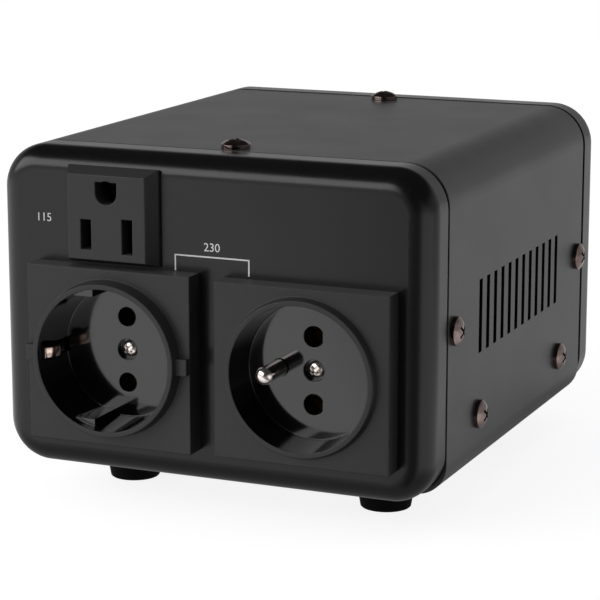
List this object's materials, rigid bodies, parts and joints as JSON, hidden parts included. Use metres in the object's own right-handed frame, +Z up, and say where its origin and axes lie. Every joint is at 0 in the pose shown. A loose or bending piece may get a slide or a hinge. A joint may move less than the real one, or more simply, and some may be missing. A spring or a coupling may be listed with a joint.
{
  "type": "mains voltage converter",
  "caption": "Box-shaped mains voltage converter: painted metal sleeve between plastic end caps, blade and round-pin outlets in front, inlet, switch, selector and fuse behind.",
  "frame": {"origin": "on the ground under the middle of the box, between the front socket rim and the rear fuse cap", "axes": "+Z up, the outlets face -Y, +X to the right as seen from the front"},
  "size_m": [0.1352, 0.173, 0.1051],
  "materials": {
    "cap_plastic": "satin moulded",
    "sleeve_paint": "satin paint",
    "tray_steel": "zinc plated",
    "bronze_screw": "dark bronze plated",
    "zinc": "zinc plated",
    "foot_rubber": "matte",
    "socket_plastic": "glossy moulded",
    "inner_plastic": "moulded",
    "contact_brass": "bare",
    "clip_copper": "bare, copper coloured",
    "nickel": "nickel plated",
    "fitting_plastic": "semi-gloss",
    "slider_red": "moulded",
    "fuse_glass": "clear",
    "core_steel": "varnished laminations",
    "bobbin_plastic": "moulded",
    "winding_copper": "varnished copper",
    "wire_brown": "insulation",
    "wire_blue": "insulation",
    "wire_green": "insulation"
  },
  "bodies": {
    "case": {"front_cap": "cap_plastic", "rear_cap": "cap_plastic", "sleeve": "sleeve_paint", "base_tray": "tray_steel", "top_screws": "bronze_screw", "right_screws": "bronze_screw", "left_screws": "bronze_screw", "clinch_nuts": "zinc", "foot_front_left": "foot_rubber", "foot_front_right": "foot_rubber", "foot_rear_left": "foot_rubber", "foot_rear_right": "foot_rubber", "foot_screws": "zinc", "foot_nuts": "zinc", "blade_socket": "socket_plastic", "blade_live_contact": "contact_brass", "blade_neutral_contact": "contact_brass", "blade_earth_contact": "contact_brass", "side_earth_socket": "socket_plastic", "side_earth_back": "inner_plastic", "side_earth_tulips": "contact_brass", "side_earth_screw": "nickel", "pin_earth_socket": "socket_plastic", "pin_earth_back": "inner_plastic", "pin_earth_tulips": "contact_brass", "pin_earth_screw": "nickel", "earth_pin": "nickel", "inlet_body": "fitting_plastic", "inlet_blades": "nickel", "switch_housing": "fitting_plastic", "switch_terminals": "contact_brass", "selector_plate": "tray_steel", "selector_housing": "inner_plastic", "selector_terminals": "contact_brass", "small_screws": "zinc", "small_nuts": "zinc", "fuse_holder": "fitting_plastic", "fuse_nut": "fitting_plastic", "core": "core_steel", "bobbin": "bobbin_plastic", "primary_winding": "winding_copper", "secondary_winding": "winding_copper", "core_brackets": "tray_steel", "core_bolts": "zinc", "core_nuts": "zinc", "bracket_screws": "zinc", "bracket_nuts": "zinc", "output_wires": "wire_brown", "mains_wires": "wire_blue", "earth_wires": "wire_green", "earth_stud": "contact_brass"},
    "rocker": {"switch_rocker": "fitting_plastic"},
    "slider": {"selector_slider": "slider_red"},
    "fuse_drawer": {"fuse_carrier": "fitting_plastic", "fuse_glass": "fuse_glass", "fuse_ends": "nickel"},
    "fuse_knob": {"fuse_cap": "fitting_plastic"},
    "clip_left": {"earth_clip_left": "clip_copper"},
    "clip_right": {"earth_clip_right": "clip_copper"}
  },
  "joints": [
    {"name": "rocker_tilt", "type": "hinge", "parent": "case", "child": "rocker", "pos_m": [-0.027, 0.0745, 0.0475], "axis": [-1, 0, 0], "range_deg": [0, 20]},
    {"name": "selector_slide", "type": "slide", "parent": "case", "child": "slider", "axis": [-1, 0, 0], "range_m": [0, 0.005]},
    {"name": "fuse_pull", "type": "slide", "parent": "case", "child": "fuse_drawer", "axis": [0, 1, 0], "range_m": [0, 0.028]},
    {"name": "fuse_turn", "type": "hinge", "parent": "fuse_drawer", "child": "fuse_knob", "pos_m": [0.027, 0.0825, 0.0825], "axis": [0, 1, 0], "range_deg": [0, 60]},
    {"name": "clip_left_press", "type": "slide", "parent": "case", "child": "clip_left", "axis": [-1, 0, 0], "range_m": [0, 0.0008], "stiffness_N_per_m": 2000},
    {"name": "clip_right_press", "type": "slide", "parent": "case", "child": "clip_right", "axis": [1, 0, 0], "range_m": [0, 0.0008], "stiffness_N_per_m": 2000}
  ]
}
